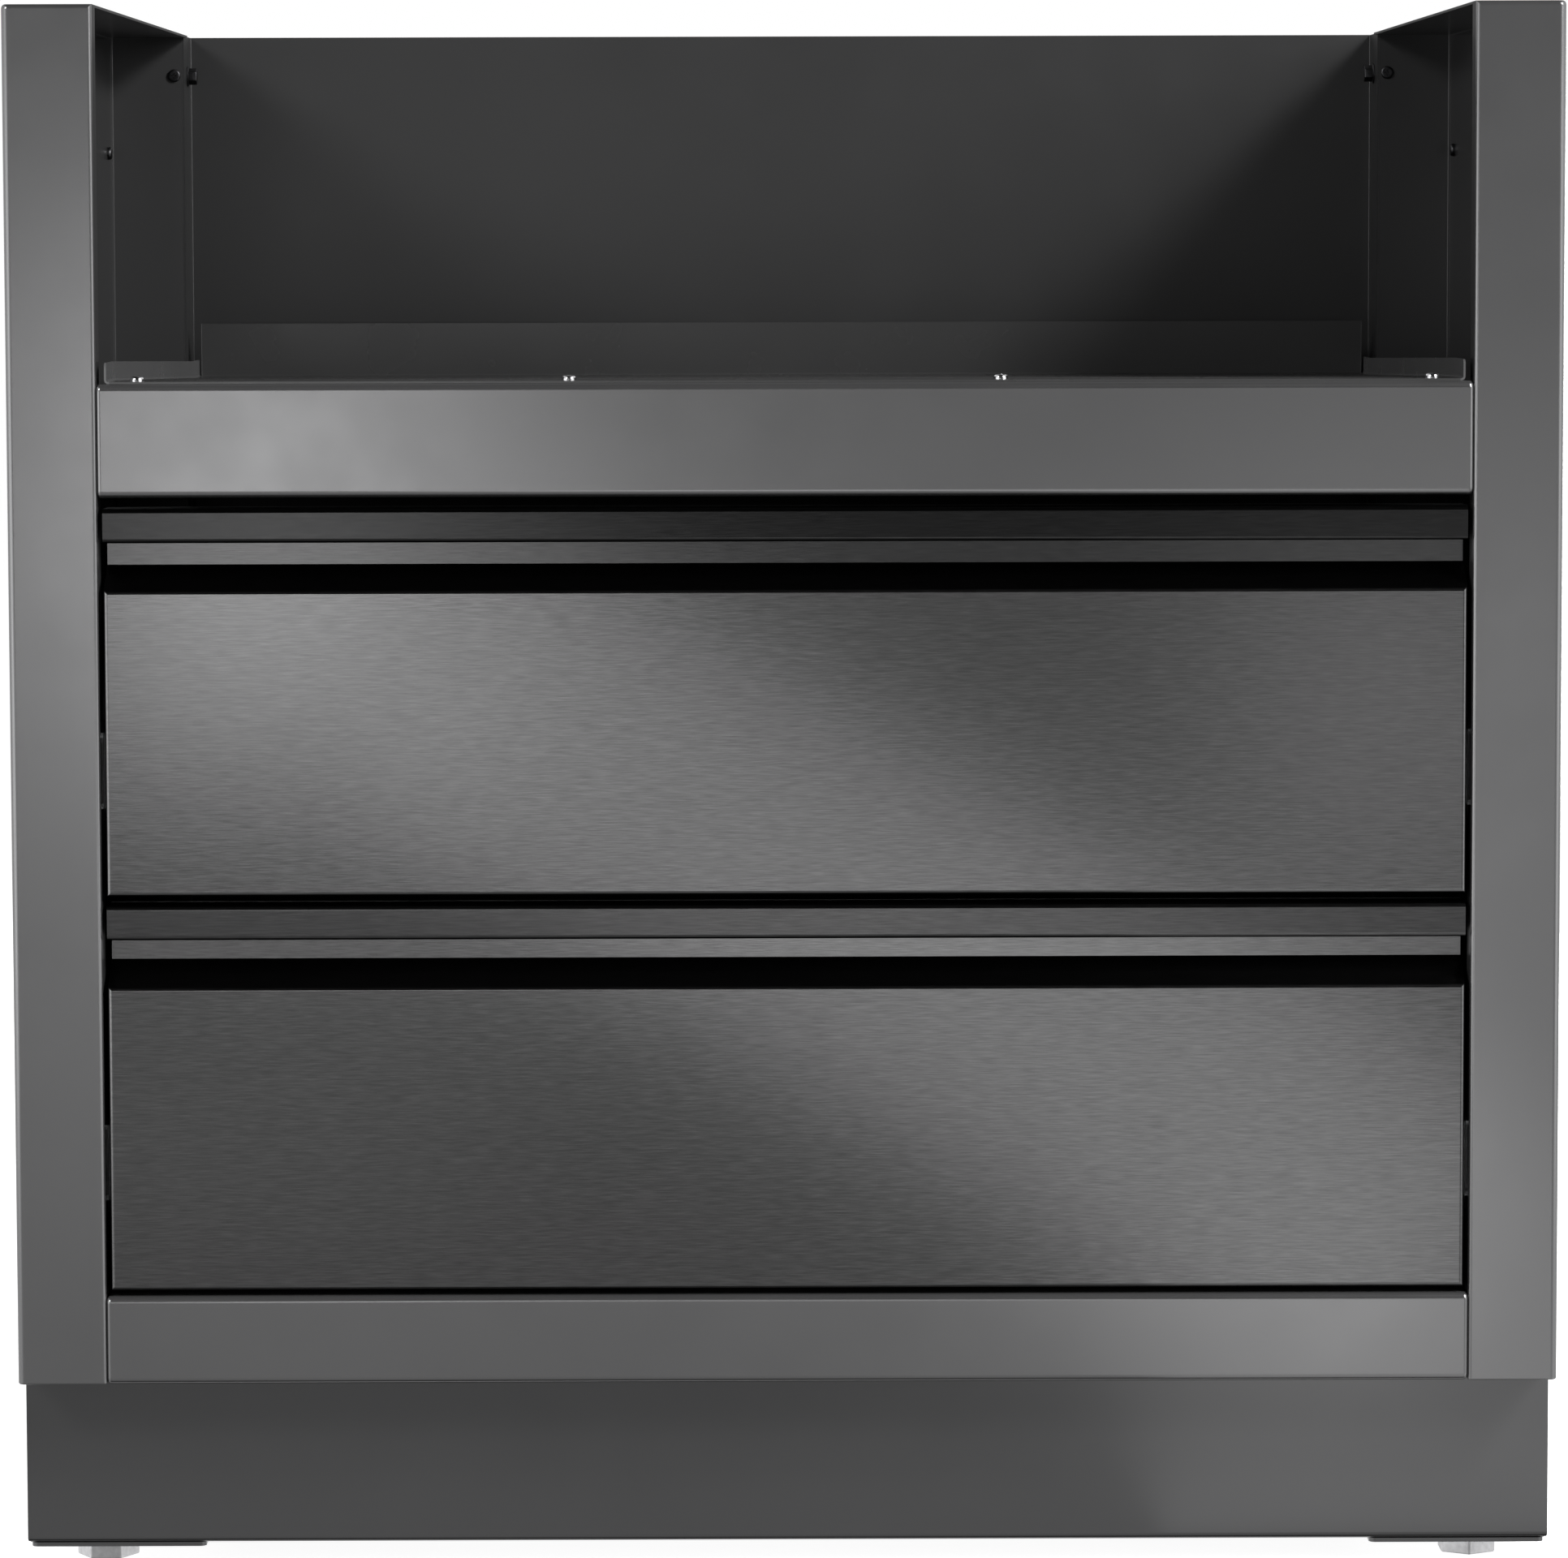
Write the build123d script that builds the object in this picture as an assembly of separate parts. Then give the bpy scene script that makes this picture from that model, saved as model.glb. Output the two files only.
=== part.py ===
"""Outdoor grill cabinet of folded sheet steel with a grill bay above two drawers.

Millimetres, +Z up, +X to the right and the front facing -Y. The origin is on the floor under the
middle of the cabinet. Every piece is a separate solid, written to its own STEP file.
"""
from build123d import *
import os

os.makedirs("parts", exist_ok=True)

# Carcass
cabinet_width = 914.0
side_depth = 634.0            # front face of a side panel to its rear flange
back_pan_depth = 52.0         # how far the back panel stands behind the rear flanges
post_width = 53.0             # front face of a side panel, also the width of its top flange
post_return = 20.0            # fold that runs back from the inner edge of a post
rear_flange_width = 49.0
bottom_rail_height = 52.7
upper_rail_height = 66.9
rail_depth = 40.0
bay_height = 221.5            # upper rail to the top flanges
panel_sheet = 1.5
panel_fold = 2.5              # outer radius of a folded edge
face_fold = 4.0               # wider folds of the posts, rails and plinth
edge_round = 1.2              # rounding of a cut edge along the bottom of a side panel
base_flange = 25.0
base_rear_gap = 2.0

# Plinth and levelling feet
plinth_height = 103.8
plinth_recess = 42.0          # toe kick behind the front face
plinth_flange = 25.0
plinth_corner = 2.5           # rounding of the plinth's corners
flange_gap = 1.0              # between plinth flanges at the corners
plate_width = 105.0
plate_sheet = 2.5
plate_inset = 2.0
plate_corner = 4.0
foot_height = 13.0            # foot under the corner plate
foot_flats = 32.6             # across the flats of the hexagon
foot_base = 31.0              # flat disc that meets the floor
foot_taper = 1.5              # height of the chamfer round the sole
foot_from_side = 44.0         # centre of a foot from the outer face of the plinth
foot_stem = 10.0
foot_stem_length = 60.0
foot_chamfer = 1.0
nut_flats = 17.0
nut_height = 8.0
stem_clearance = 0.3          # on the diameter, in the nut and in the plate
foot_turns = {"front_left": 0, "front_right": 30, "rear_left": 18, "rear_right": 9}

# Heat shield at the bottom of the grill bay
shield_sheet = 1.2
shield_fold = 2.5
shield_side_gap = 4.6         # to the inner face of a post
shield_setback = 4.0          # front edge behind the face of the rail
shield_lip = 45.0             # level strip along the front and the rear
shield_fall = 11.2            # the floor runs down to the rear
shield_side_height = 12.4
shield_side_corner = 2.0
shield_corner_gap = 1.5       # between a side flange and the rear flange
shield_rear_height = 37.0
shield_rear_gap = 44.5        # rear flange to the back panel
ledge_depth = 70.0
ledge_height = 30.0
ledge_side_gap = 20.0

# Drawers
front_side_gap = 3.0          # drawer front to post
front_low_gap = 3.8           # lower front to bottom rail
front_mid_gap = 5.8           # between the two drawers
front_top_gap = 6.3           # upper handle to upper rail
front_height = 180.0
pull_height = 28.6            # open height of the finger pull
pull_depth = 28.0
pull_rise = 14.8              # the sloping floor of the pull rises to its back wall
bar_height = 20.2
bar_hem = 9.0
wall_overlap = 14.0           # back wall of the pull behind the top of the front
drawer_sheet = 1.2
drawer_fold = 2.5
box_drop = 12.0               # underside of the box above the lower edge of the front
box_height = 150.0
box_past_slide = 8.4          # box behind the rear end of its slides
box_rim = 12.0
box_shelf = 15.0              # flange that carries the bottom
fit_gap = 0.3                 # between pieces that slide or slip together

# Telescopic slides
slide_thickness = 12.7
slide_height = 45.0
slide_length = 550.0
slide_sheet = 1.2
slide_setback = 1.6           # front end behind the inner front
slide_low = 60.0              # centre line above the underside of the box
middle_web = 4.5              # web of the middle member from the channel
member_gap = 0.6
channel_height = 60.0
channel_end_gap = 2.0

# Fasteners
screw_head = 8.6
screw_head_height = 3.0
screw_head_round = 0.6        # rounding of a head as a share of its height
screw_shank = 4.8
hole_clearance = 0.2
flat_head_height = 2.0
shield_screw_count = 4
shield_screw_from_side = 18.4
shield_screw_from_front = 14.0
bolt_flats = 10.0
bolt_head_height = 5.2
bolt_washer = 14.0
bolt_washer_height = 1.5
bolt_shank = 6.0
bolt_nut_height = 5.0
top_bolt_drop = 27.0          # uppermost bolts and flange screws under the top
side_screw_drop = 80.0
side_screw_from_rear = 35.0
flange_screw_inset = 4.9
plinth_screw_spacing = 300.0
slide_screw_end = 60.0        # first slide screw from the end of a member

# Planes and levels worked out from the sizes above
outer_x = cabinet_width / 2
wall_x = outer_x - panel_sheet
opening_x = outer_x - post_width
rear_edge_x = outer_x - rear_flange_width
front_x = opening_x - front_side_gap
box_x = opening_x - slide_thickness
shield_x = opening_x - shield_side_gap
front_y = -(side_depth + back_pan_depth) / 2
rear_y = front_y + side_depth
back_y = rear_y + back_pan_depth
plinth_y = front_y + plinth_recess
inner_front_y = front_y + pull_depth + drawer_sheet
box_y = inner_front_y + drawer_sheet
slide_y = box_y + slide_setback
box_rear_y = slide_y + slide_length + box_past_slide
shield_y = front_y + shield_setback
shield_rear_y = back_y - panel_sheet - shield_rear_gap
plinth_z = foot_height + plate_sheet
carcass_z = plinth_z + plinth_height
drawer_height = front_height + pull_height + bar_height
lower_z = carcass_z + bottom_rail_height + front_low_gap
upper_z = lower_z + drawer_height + front_mid_gap
rail_z = upper_z + drawer_height + front_top_gap
shield_z = rail_z + upper_rail_height
shield_rear_z = shield_z - shield_fall
top_z = shield_z + bay_height
drawer_levels = {"lower": lower_z, "upper": upper_z}
past = 5.0                    # how far a cutting tool runs past the face it opens
tolerance = 0.01              # for picking edges and corners by their place


def block(x0, x1, y0, y1, z0, z1):
    """A box between two corners."""
    middle = Pos((x0 + x1) / 2, (y0 + y1) / 2, (z0 + z1) / 2)
    return middle * Box(x1 - x0, y1 - y0, z1 - z0)


def mirrored(shape):
    """The same piece on the other side of the cabinet."""
    return mirror(shape, about=Plane.YZ)


def outline_yz(points, x0, x1):
    """A closed outline in Y and Z, extruded from x0 to x1."""
    face = make_face(Polyline(*points, close=True))
    return Pos(x0, 0, 0) * extrude(Plane.YZ * face, x1 - x0)


def beside(points, distance):
    """The same line of points, moved to its left by a distance."""
    line = [Vector(*point) for point in points]
    steps = [(end - start).normalized() for start, end in zip(line, line[1:])]
    lefts = [Vector(-step.Y, step.X) for step in steps]
    before = [lefts[0]] + lefts
    after = lefts + [lefts[-1]]
    return [point + (a + b) * (distance / (1 + a.dot(b))) for point, a, b in zip(line, before, after)]


def folded(points, sheet, fold):
    """Cross-section of a sheet whose outer face follows the points; every fold turns to the left."""
    inner = beside(points, sheet)
    outer_face = FilletPolyline(*points, radius=fold)
    inner_face = FilletPolyline(*inner, radius=fold - sheet)
    ends = [Line(points[0], inner[0]), Line(points[-1], inner[-1])]
    return make_face([outer_face, inner_face, *ends])


def folded_along_x(points, sheet, fold, half):
    """A folded sheet that runs across the cabinet; the points are Y and Z."""
    return extrude(Plane.YZ * folded(points, sheet, fold), half, both=True)


def folded_along_y(points, sheet, fold, y0, y1):
    """A folded sheet that runs from front to rear; the points are X and Z."""
    section = Plane.XZ * folded(points, sheet, fold)
    return Pos(0, y1, 0) * extrude(section, y1 - y0)


def rod_x(x0, x1, y, z, diameter):
    """A round rod along X."""
    return Pos((x0 + x1) / 2, y, z) * Rot(0, 90, 0) * Cylinder(diameter / 2, abs(x1 - x0))


def rod_y(x, y0, y1, z, diameter):
    """A round rod along Y."""
    return Pos(x, (y0 + y1) / 2, z) * Rot(90, 0, 0) * Cylinder(diameter / 2, abs(y1 - y0))


def rod_z(x, y, z0, z1, diameter):
    """A round rod along Z."""
    return Pos(x, y, (z0 + z1) / 2) * Cylinder(diameter / 2, abs(z1 - z0))


def hexagon(flats, height):
    """A hexagonal prism on the XY plane."""
    corner_radius = flats / 3 ** 0.5
    return extrude(RegularPolygon(corner_radius, 6), height)


def pan_head(diameter, height):
    """A domed screw head that stands on the XY plane."""
    head = Pos(0, 0, height / 2) * Cylinder(diameter / 2, height)
    return fillet(head.edges().sort_by(Axis.Z)[-1], height * screw_head_round)


def save(node, *solids):
    """Writes one node, as one solid or as a group of like solids."""
    shape = solids[0] if len(solids) == 1 else Compound(children=list(solids))
    export_step(shape, f"parts/{node}.step")


def round_folds(shape, outer_face, wide, narrow):
    """Rounds a side panel: wide where its front meets its outer face, narrow at its other folds."""
    front = shape.bounding_box().min.Y
    bottom = shape.bounding_box().min.Z

    def on_front(edge):
        return abs(edge.center().Y - front) < tolerance

    def on_outer(edge):
        return abs(edge.center().X - outer_face) < tolerance

    corner = [edge for edge in shape.edges() if on_front(edge) and on_outer(edge)]
    shape = fillet(corner, wide)
    top = shape.faces().sort_by(Axis.Z)[-1]
    rear = max(edge.center().Y for edge in top.edges())
    inner = min(edge.center().X for edge in top.edges())
    top_folds = [
        edge for edge in top.edges()
        if edge.center().Y < rear - tolerance and edge.center().X > inner + tolerance
    ]
    upright_folds = [
        edge for edge in shape.edges().filter_by(Axis.Z)
        if edge.center().Z > bottom + tolerance
        and (on_front(edge) and edge.center().X < inner + tolerance
             or on_outer(edge) and edge.center().Y > rear - tolerance)
    ]
    return fillet(top_folds + upright_folds, narrow)


# Places of fasteners that go through two pieces
bolt_y = rear_y + back_pan_depth / 2
bolt_levels = (top_z - top_bolt_drop, (carcass_z + top_z) / 2, carcass_z + 2 * top_bolt_drop)
flange_screw_x = rear_edge_x + flange_screw_inset
side_screw_y = rear_y - side_screw_from_rear
side_screw_z = top_z - side_screw_drop
shield_screw_y = front_y + shield_screw_from_front
shield_screw_span = 2 * (shield_x - shield_screw_from_side)
shield_screw_xs = [shield_screw_span * (place / (shield_screw_count - 1) - 0.5)
                   for place in range(shield_screw_count)]
plinth_screw_x = outer_x - plinth_flange / 2 - panel_sheet
plinth_screw_ys = (-plinth_screw_spacing / 2, 0.0, plinth_screw_spacing / 2)
slide_screw_ys = [
    slide_y + slide_screw_end,
    slide_y + slide_length / 2,
    slide_y + slide_length - slide_screw_end,
]


def slide_centre(level):
    """Height of a slide's centre line for a drawer whose front starts at this level."""
    return level + box_drop + slide_low


# Side panels: front post with its return, outer wall, top flange, rear flange with its own return
def side_panel():
    shell = block(opening_x, outer_x, front_y, rear_y, carcass_z, top_z)
    shell = round_folds(shell, outer_x, face_fold, panel_fold)
    lower_face = shell.faces().sort_by(Axis.Z)[0]
    lower_edges = [
        edge for edge in lower_face.edges()
        if edge.center().Y < rear_y and edge.center().X > opening_x
    ]
    shell = fillet(lower_edges, edge_round)
    hollow = block(opening_x + panel_sheet, wall_x, front_y + panel_sheet, rear_y - panel_sheet,
                   carcass_z - past, top_z - panel_sheet)
    hollow = round_folds(hollow, wall_x, face_fold - panel_sheet, panel_fold - panel_sheet)
    mouth = block(opening_x - past, opening_x + panel_fold, front_y + post_return, rear_y - panel_sheet,
                  carcass_z - past, top_z - panel_sheet)
    rear_trim = block(opening_x - past, rear_edge_x, rear_y - 2 * panel_sheet, rear_y + past,
                      carcass_z - past, top_z - panel_sheet)
    rear_return = block(rear_edge_x, rear_edge_x + panel_sheet, rear_y - panel_sheet, back_y - panel_fold,
                        carcass_z, top_z - panel_sheet)
    panel = shell - hollow - mouth - rear_trim + rear_return
    for level in bolt_levels:
        panel -= rod_x(rear_edge_x - past, rear_edge_x + past, bolt_y, level, bolt_shank + hole_clearance)
    panel -= rod_y(flange_screw_x, rear_y - past, rear_y + past, bolt_levels[0], screw_shank + hole_clearance)
    panel -= rod_x(wall_x - past, outer_x + past, side_screw_y, side_screw_z, screw_shank + hole_clearance)
    return panel


right_side_panel = side_panel()
save("right_side_panel", right_side_panel)
save("left_side_panel", mirrored(right_side_panel))


# Front rails: shallow trays between the posts, open at the rear
def rounded_tray(shape, wide, narrow):
    """Rounds a tray: wide along its upper and lower front edges, narrow round its two ends."""
    rear = shape.bounding_box().max.Y
    shape = fillet(shape.edges().filter_by(Axis.X).group_by(Axis.Y)[0], wide)
    ends = shape.faces().sort_by(Axis.X)
    end_edges = [
        edge for edge in ends[0].edges() + ends[-1].edges()
        if edge.center().Y < rear - tolerance
    ]
    return fillet(end_edges, narrow)


def front_rail(z0, height):
    outside = block(-opening_x, opening_x, front_y, front_y + rail_depth, z0, z0 + height)
    inside = block(-opening_x + panel_sheet, opening_x - panel_sheet, front_y + panel_sheet,
                   front_y + rail_depth + past, z0 + panel_sheet, z0 + height - panel_sheet)
    outside = rounded_tray(outside, face_fold, panel_fold)
    return outside - rounded_tray(inside, face_fold - panel_sheet, panel_fold - panel_sheet)


upper_front_rail = front_rail(rail_z, upper_rail_height)
for x in shield_screw_xs:
    upper_front_rail -= rod_z(x, shield_screw_y, shield_z - past, shield_z + past,
                              screw_shank + hole_clearance)
save("upper_front_rail", upper_front_rail)
save("bottom_front_rail", front_rail(carcass_z, bottom_rail_height))


# Back panel: a pan folded forward at its sides and along its lower edge
def back_panel():
    pan = block(-rear_edge_x, rear_edge_x, rear_y, back_y, carcass_z, top_z)
    pan = fillet(pan.faces().sort_by(Axis.Y)[-1].edges().filter_by(Axis.Z), panel_fold)
    inside = block(-rear_edge_x + panel_sheet, rear_edge_x - panel_sheet, rear_y - past, back_y - panel_sheet,
                   carcass_z + panel_sheet, top_z + past)
    inside = fillet(inside.faces().sort_by(Axis.Y)[-1].edges().filter_by(Axis.Z), panel_fold - panel_sheet)
    pan -= inside
    for level in bolt_levels:
        pan -= rod_x(-outer_x, outer_x, bolt_y, level, bolt_shank + hole_clearance)
    return pan


save("back_panel", back_panel())


# Base panel: cabinet floor with its sides turned up against the outer walls
def base_panel():
    y0 = front_y + rail_depth
    y1 = rear_y - panel_sheet - base_rear_gap
    points = [(-wall_x, carcass_z + base_flange), (-wall_x, carcass_z),
              (wall_x, carcass_z), (wall_x, carcass_z + base_flange)]
    floor = folded_along_y(points, panel_sheet, panel_fold, y0, y1)
    for x in (-plinth_screw_x, plinth_screw_x):
        for y in plinth_screw_ys:
            floor -= rod_z(x, y, carcass_z - past, carcass_z + past, screw_shank + hole_clearance)
    return floor


save("base_panel", base_panel())


# Heat shield: a tray whose floor falls to the rear, with low folded sides and a taller rear flange
lip_end = shield_y + shield_lip
rear_start = shield_rear_y - shield_lip
shield_inner_y = shield_rear_y - shield_sheet
side_end = shield_inner_y - shield_corner_gap


def shield_floor():
    """Level strip, fall, rear strip and rear flange, between the two side folds."""
    flange_top = shield_rear_z + shield_rear_height
    section = make_face(Polyline(
        (shield_y, shield_z), (lip_end, shield_z), (rear_start, shield_rear_z),
        (shield_rear_y, shield_rear_z), (shield_rear_y, flange_top), (shield_inner_y, flange_top),
        (shield_inner_y, shield_rear_z + shield_sheet), (rear_start, shield_rear_z + shield_sheet),
        (lip_end, shield_z + shield_sheet), (shield_y, shield_z + shield_sheet), close=True))
    outer_corner = section.vertices().group_by(Axis.X)[-1].sort_by(Axis.Y)[0]
    section = fillet(outer_corner, shield_fold)
    inner_line = section.vertices().filter_by_position(
        Axis.X, shield_inner_y - tolerance, shield_inner_y + tolerance)
    section = fillet(inner_line.sort_by(Axis.Y)[0], shield_fold - shield_sheet)
    return extrude(Plane.YZ * section, shield_x - shield_fold, both=True)


def shield_side():
    """Right side: a fold that follows the floor, its two upper corners cut off."""
    line = [(shield_y, shield_z), (lip_end, shield_z), (rear_start, shield_rear_z), (side_end, shield_rear_z)]
    side = Part()
    for (y0, z0), (y1, z1) in zip(line, line[1:]):
        points = [(shield_x - 2 * shield_fold, z0), (shield_x, z0), (shield_x, z0 + shield_side_height)]
        section = Pos(0, y0, 0) * (Plane.XZ * folded(points, shield_sheet, shield_fold))
        run = Vector(0, y1 - y0, z1 - z0)
        side += extrude(section, run.length, dir=run)
    for (y, z), inward in ((line[0], shield_side_corner), (line[-1], -shield_side_corner)):
        top = z + shield_side_height
        corner = [(y, top), (y + inward, top), (y, top - shield_side_corner)]
        side -= outline_yz(corner, shield_x - shield_fold, shield_x + past)
    return side


right_shield_side = shield_side()
heat_shield = shield_floor() + right_shield_side + mirrored(right_shield_side)
for x in shield_screw_xs:
    heat_shield -= rod_z(x, shield_screw_y, shield_z - past, shield_z + past, screw_shank + hole_clearance)
save("heat_shield", heat_shield)

# Ledge: an angle on the back panel that carries the rear of the shield
ledge_y = back_y - panel_sheet
ledge_points = [(ledge_y, shield_rear_z - ledge_height), (ledge_y, shield_rear_z),
                (ledge_y - ledge_depth, shield_rear_z)]
save("shield_ledge", folded_along_x(ledge_points, panel_sheet, panel_fold, shield_x - ledge_side_gap))


# Plinth: four channels with their flanges turned inwards
def plinth_cross(face_y, inward):
    """Front or rear channel, full width, its flanges cut back to let the side channels in."""
    tip = face_y + inward * plinth_flange
    points = [(tip, plinth_z), (face_y, plinth_z), (face_y, carcass_z), (tip, carcass_z)]
    if inward > 0:
        points.reverse()
    channel = folded_along_x(points, panel_sheet, face_fold, outer_x)
    middle = Pos(0, face_y, (plinth_z + carcass_z) / 2)
    outline = Plane.XZ * RectangleRounded(cabinet_width, plinth_height, plinth_corner)
    channel &= middle * extrude(outline, 2 * plinth_flange, both=True)
    cut_y = sorted((face_y + inward * panel_sheet, face_y + inward * (plinth_flange + past)))
    for x0, x1 in ((-outer_x - past, -wall_x), (wall_x, outer_x + past)):
        channel -= block(x0, x1, *cut_y, plinth_z - past, carcass_z + past)
    return channel


def plinth_side():
    """Right channel between the front and the rear one."""
    y0 = plinth_y + panel_sheet
    y1 = rear_y - panel_sheet
    tip = outer_x - plinth_flange
    points = [(tip, plinth_z), (outer_x, plinth_z), (outer_x, carcass_z), (tip, carcass_z)]
    channel = folded_along_y(points, panel_sheet, face_fold, y0, y1)
    free = plinth_flange - panel_sheet + flange_gap
    for cut0, cut1 in ((y0 - past, y0 + free), (y1 - free, y1 + past)):
        channel -= block(tip - past, wall_x, cut0, cut1, plinth_z - past, carcass_z + past)
    for y in plinth_screw_ys:
        channel -= rod_z(plinth_screw_x, y, carcass_z - past, carcass_z + past, screw_shank + hole_clearance)
    return channel


save("toe_kick", plinth_cross(plinth_y, 1))
save("plinth_rear", plinth_cross(rear_y, -1))
right_plinth = plinth_side()
save("plinth_right", right_plinth)
save("plinth_left", mirrored(right_plinth))


# Corner plates, weld nuts and levelling feet
def foot_place(corner):
    """Centre of a foot."""
    depth, side = corner.split("_")
    x = outer_x - foot_from_side
    y = plinth_y + foot_from_side if depth == "front" else rear_y - foot_from_side
    return (x if side == "right" else -x), y


def corner_plate(corner):
    depth, side = corner.split("_")
    x1 = outer_x - plate_inset
    x0 = x1 - plate_width
    if side == "left":
        x0, x1 = -x1, -x0
    y0 = plinth_y + plate_inset
    if depth == "rear":
        y0 = rear_y - plate_inset - plate_width
    plate = block(x0, x1, y0, y0 + plate_width, foot_height, plinth_z)
    plate = fillet(plate.edges().filter_by(Axis.Z), plate_corner)
    x, y = foot_place(corner)
    return plate - rod_z(x, y, foot_height - past, plinth_z + past, foot_stem + stem_clearance)


def weld_nut(corner):
    x, y = foot_place(corner)
    nut = Pos(x, y, plinth_z) * hexagon(nut_flats, nut_height)
    return nut - rod_z(x, y, plinth_z - past, plinth_z + nut_height + past, foot_stem + stem_clearance)


def levelling_foot(corner):
    """Hexagonal foot with a chamfered sole and a threaded stem."""
    corner_radius = foot_flats / 3 ** 0.5
    turned = make_face(Polyline(
        (0, 0), (foot_base / 2, 0), (corner_radius, foot_taper), (corner_radius, foot_height - foot_chamfer),
        (corner_radius - 2 * foot_chamfer, foot_height), (0, foot_height), close=True))
    body = revolve(Plane.XZ * turned, Axis.Z)
    foot = body & (Rot(0, 0, foot_turns[corner]) * hexagon(foot_flats, foot_height))
    stem = rod_z(0, 0, foot_height - foot_taper, foot_height + foot_stem_length, foot_stem)
    stem = chamfer(stem.edges().sort_by(Axis.Z)[-1], foot_chamfer)
    x, y = foot_place(corner)
    return Pos(x, y, 0) * (foot + stem)


for corner in foot_turns:
    save(f"corner_plate_{corner}", corner_plate(corner))
    save(f"foot_{corner}", levelling_foot(corner))
save("foot_nuts", *[weld_nut(corner) for corner in foot_turns])


# Slide channels: run from post to rear flange and bring the slides out to the opening
def slide_channel(level):
    z0 = slide_centre(level) - channel_height / 2
    z1 = z0 + channel_height
    points = [(wall_x, z1), (opening_x, z1), (opening_x, z0), (wall_x, z0)]
    y0 = front_y + post_return + channel_end_gap
    y1 = rear_y - panel_sheet - channel_end_gap
    channel = folded_along_y(points, panel_sheet, panel_fold, y0, y1)
    z = slide_centre(level)
    for y in slide_screw_ys:
        channel -= rod_x(opening_x - past, opening_x + past, y, z, screw_shank + hole_clearance)
    return channel


# Telescopic slides: three members that run in each other
def slide_section(x0, x1, level, half):
    """A bar of the slide between two distances from the channel, half high each way."""
    z = slide_centre(level)
    return block(opening_x - x1, opening_x - x0, slide_y, slide_y + slide_length, z - half, z + half)


def slide_holes(level, x0, x1):
    """Screw holes through a web."""
    z = slide_centre(level)
    return [rod_x(opening_x - x1 - past, opening_x - x0 + past, y, z, screw_shank + hole_clearance)
            for y in slide_screw_ys]


outer_half = slide_height / 2
middle_half = outer_half - slide_sheet - fit_gap
inner_half = middle_half - slide_sheet - fit_gap
inner_web = slide_thickness - slide_sheet


def outer_member(level):
    member = slide_section(0, inner_web - fit_gap, level, outer_half)
    member -= slide_section(slide_sheet, slide_thickness + past, level, outer_half - slide_sheet)
    for hole in slide_holes(level, 0, slide_sheet):
        member -= hole
    return member


def middle_member(level):
    x0 = slide_sheet + member_gap
    x1 = inner_web - member_gap
    member = slide_section(x0, x1, level, middle_half)
    member -= slide_section(x0 - past, middle_web, level, middle_half - slide_sheet)
    return member - slide_section(middle_web + slide_sheet, x1 + past, level, middle_half - slide_sheet)


def inner_member(level):
    member = slide_section(middle_web + slide_sheet + fit_gap, slide_thickness, level, inner_half)
    member -= slide_section(0, inner_web, level, inner_half - slide_sheet)
    for hole in slide_holes(level, inner_web, slide_thickness):
        member -= hole
    return member


for drawer, level in drawer_levels.items():
    for name, make in (("slide_channel", slide_channel), ("slide_outer", outer_member),
                       ("slide_middle", middle_member), ("slide_inner", inner_member)):
        right = make(level)
        save(f"{name}_{drawer}_right", right)
        save(f"{name}_{drawer}_left", mirrored(right))


# Drawer fronts: a tray open at the rear whose top slopes up to the back wall of the finger pull
def front_outline(level, rear):
    """Side view of the front, its slope carried on to a depth."""
    top = level + front_height
    return [(front_y, level), (front_y, top), (front_y + rear, top + pull_rise * rear / pull_depth),
            (front_y + rear, level)]


def drawer_front(level):
    depth = pull_depth + drawer_sheet
    outside = outline_yz(front_outline(level, depth), -front_x, front_x)
    outside = fillet(outside.faces().sort_by(Axis.Y)[0].edges(), drawer_fold)
    inset = offset(make_face(Polyline(*front_outline(level, depth + past), close=True)), amount=-drawer_sheet)
    inside = extrude(Plane.YZ * inset, front_x - drawer_sheet, both=True)
    wall_z = level + front_height + pull_rise - wall_overlap - fit_gap
    behind_wall = block(-front_x - past, front_x + past, front_y + pull_depth, front_y + depth + past,
                        wall_z, level + drawer_height)
    return outside - inside - behind_wall


# Handle rails: back wall of the pull, a top flange and the bar that hangs in front of it
def handle_rail(level):
    top = level + drawer_height
    bar_low = top - bar_height
    rear = front_y + pull_depth + drawer_sheet
    wall_low = level + front_height + pull_rise - wall_overlap
    points = [(rear, wall_low), (rear, top), (front_y, top), (front_y, bar_low), (front_y + bar_hem, bar_low)]
    return folded_along_x(points, drawer_sheet, drawer_fold, front_x)


# Drawer boxes: inner front, two sides with a rim and a shelf, a back and a bottom
def inner_front(level):
    return block(-front_x, front_x, inner_front_y, box_y, level, level + drawer_height)


def box_side(level):
    z0 = level + box_drop
    z1 = z0 + box_height
    points = [(box_x - box_shelf, z0), (box_x, z0), (box_x, z1), (box_x - box_rim, z1)]
    side = folded_along_y(points, drawer_sheet, drawer_fold, box_y, box_rear_y)
    for y in slide_screw_ys:
        side -= rod_x(box_x - past, box_x + past, y, slide_centre(level), screw_shank + hole_clearance)
    return side


def box_bottom(level):
    z0 = level + box_drop + drawer_sheet
    half = box_x - drawer_fold
    return block(-half, half, box_y, box_rear_y, z0, z0 + drawer_sheet)


def box_back(level):
    z0 = level + box_drop + 2 * drawer_sheet
    z1 = level + box_drop + box_height - drawer_fold
    points = [(box_rear_y, z0), (box_rear_y, z1), (box_rear_y - box_rim, z1)]
    return folded_along_x(points, drawer_sheet, drawer_fold, box_x - drawer_sheet)


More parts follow.
